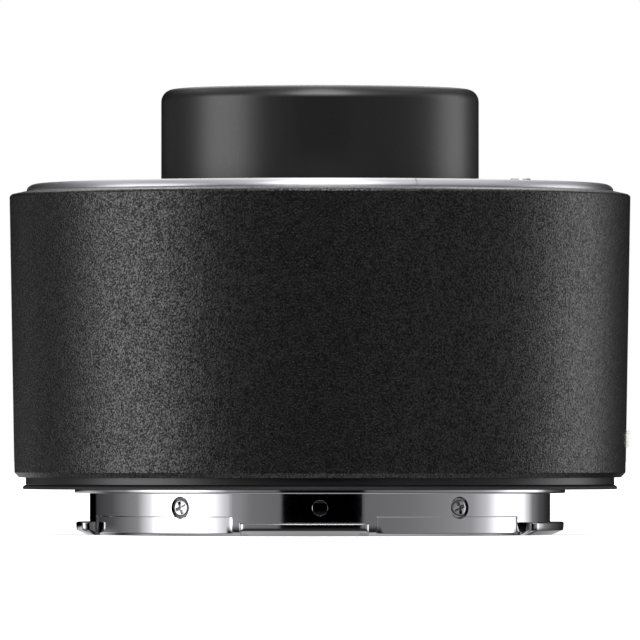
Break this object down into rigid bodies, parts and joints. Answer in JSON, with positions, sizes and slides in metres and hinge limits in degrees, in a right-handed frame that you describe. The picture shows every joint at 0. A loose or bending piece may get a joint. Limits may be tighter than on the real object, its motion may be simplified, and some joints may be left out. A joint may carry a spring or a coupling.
{
  "type": "camera teleconverter",
  "caption": "Lens extender for a camera: black barrel, bright front mount ring with lock pin, protruding nose tube and chromed rear bayonet.",
  "frame": {"origin": "on the optical axis, in the plane of the rear seat that meets the camera", "axes": "+Z along the optical axis towards the lens, -Y towards the viewer of the picture, +X to the side of the white index bead"},
  "size_m": [0.068, 0.068, 0.0487],
  "materials": {
    "shell_paint": "fine-grained matt black paint on metal",
    "satin_black": "smooth satin black anodised metal",
    "seal_rubber": "matt black rubber",
    "bayonet_chrome": "polished plated brass",
    "ring_metal": "finely turned satin plate",
    "screw_plate": "nickel-plated steel screws",
    "black_screw": "black oxide steel screws",
    "shim_brass": "rolled brass",
    "baffle_black": "matt black moulding",
    "contact_gold": "gold-plated contacts",
    "frame_metal": "black anodised machined metal",
    "spring_steel": "bright spring steel",
    "pin_steel": "polished stainless steel",
    "lever_steel": "blackened pressed steel",
    "board_green": "solder-masked board",
    "chip_black": "moulded component bodies",
    "socket_white": "moulded sockets",
    "flex_amber": "polyimide film",
    "bead_white": "white moulded bead",
    "coated_glass": "coated optical glass"
  },
  "bodies": {
    "body": {"bayonet_side_screws": "screw_plate", "bayonet_stop_pin": "bayonet_chrome", "board_connectors": "socket_white", "board_parts": "chip_black", "board_screws": "black_screw", "circuit_board": "board_green", "contact_cap": "baffle_black", "contact_springs": "spring_steel", "dust_seal": "seal_rubber", "eighth_element": "coated_glass", "fifth_element": "coated_glass", "first_element": "coated_glass", "first_spacer": "frame_metal", "fourth_element": "coated_glass", "front_contact_block": "baffle_black", "front_flex": "flex_amber", "front_mount_ring": "ring_metal", "front_mount_screws": "screw_plate", "front_plate": "baffle_black", "front_plate_screws": "black_screw", "front_retaining_ring": "frame_metal", "index_bead": "bead_white", "leaf_rivets": "spring_steel", "leaf_springs": "spring_steel", "lock_pin_spring": "spring_steel", "main_frame": "frame_metal", "nose_barrel": "satin_black", "nose_screws": "black_screw", "outer_barrel": "shell_paint", "rear_baffle": "baffle_black", "rear_bayonet": "bayonet_chrome", "rear_block_screws": "black_screw", "rear_cell": "frame_metal", "rear_cell_screws": "black_screw", "rear_contact_block": "baffle_black", "rear_contact_pads": "contact_gold", "rear_cover": "satin_black", "rear_flex": "flex_amber", "rear_mount_screws": "screw_plate", "rear_retaining_ring": "frame_metal", "rear_shim": "shim_brass", "rear_spacer": "frame_metal", "second_element": "coated_glass", "second_spacer": "frame_metal", "seventh_element": "coated_glass", "sixth_element": "coated_glass", "third_element": "coated_glass"},
    "release_lever": {"release_lever": "lever_steel", "release_knob": "satin_black", "release_knob_screws": "black_screw"},
    "lock_pin": {"lock_pin": "pin_steel", "lock_pin_peg": "pin_steel"},
    "contact_pins": {"contact_pins": "contact_gold"}
  },
  "joints": [
    {"name": "release_lever_turn", "type": "hinge", "parent": "body", "child": "release_lever", "pos_m": [0, 0, 0.0274], "axis": [0, 0, 1], "range_deg": [0, 7]},
    {"name": "lock_pin_slide", "type": "slide", "parent": "body", "child": "lock_pin", "axis": [0, 0, -1], "range_m": [0, 0.00189], "stiffness_N_per_m": 300, "springref_m": -0.0001, "deforming": ["lock_pin_spring"]},
    {"name": "contact_press", "type": "slide", "parent": "body", "child": "contact_pins", "axis": [0, 0, -1], "range_m": [0, 0.00066], "stiffness_N_per_m": 1500, "springref_m": -0.00005, "deforming": ["contact_springs"]}
  ],
  "couplings": [
    {"joint": "lock_pin_slide", "follows": "release_lever_turn", "m_per_rad": 0.01547}
  ]
}
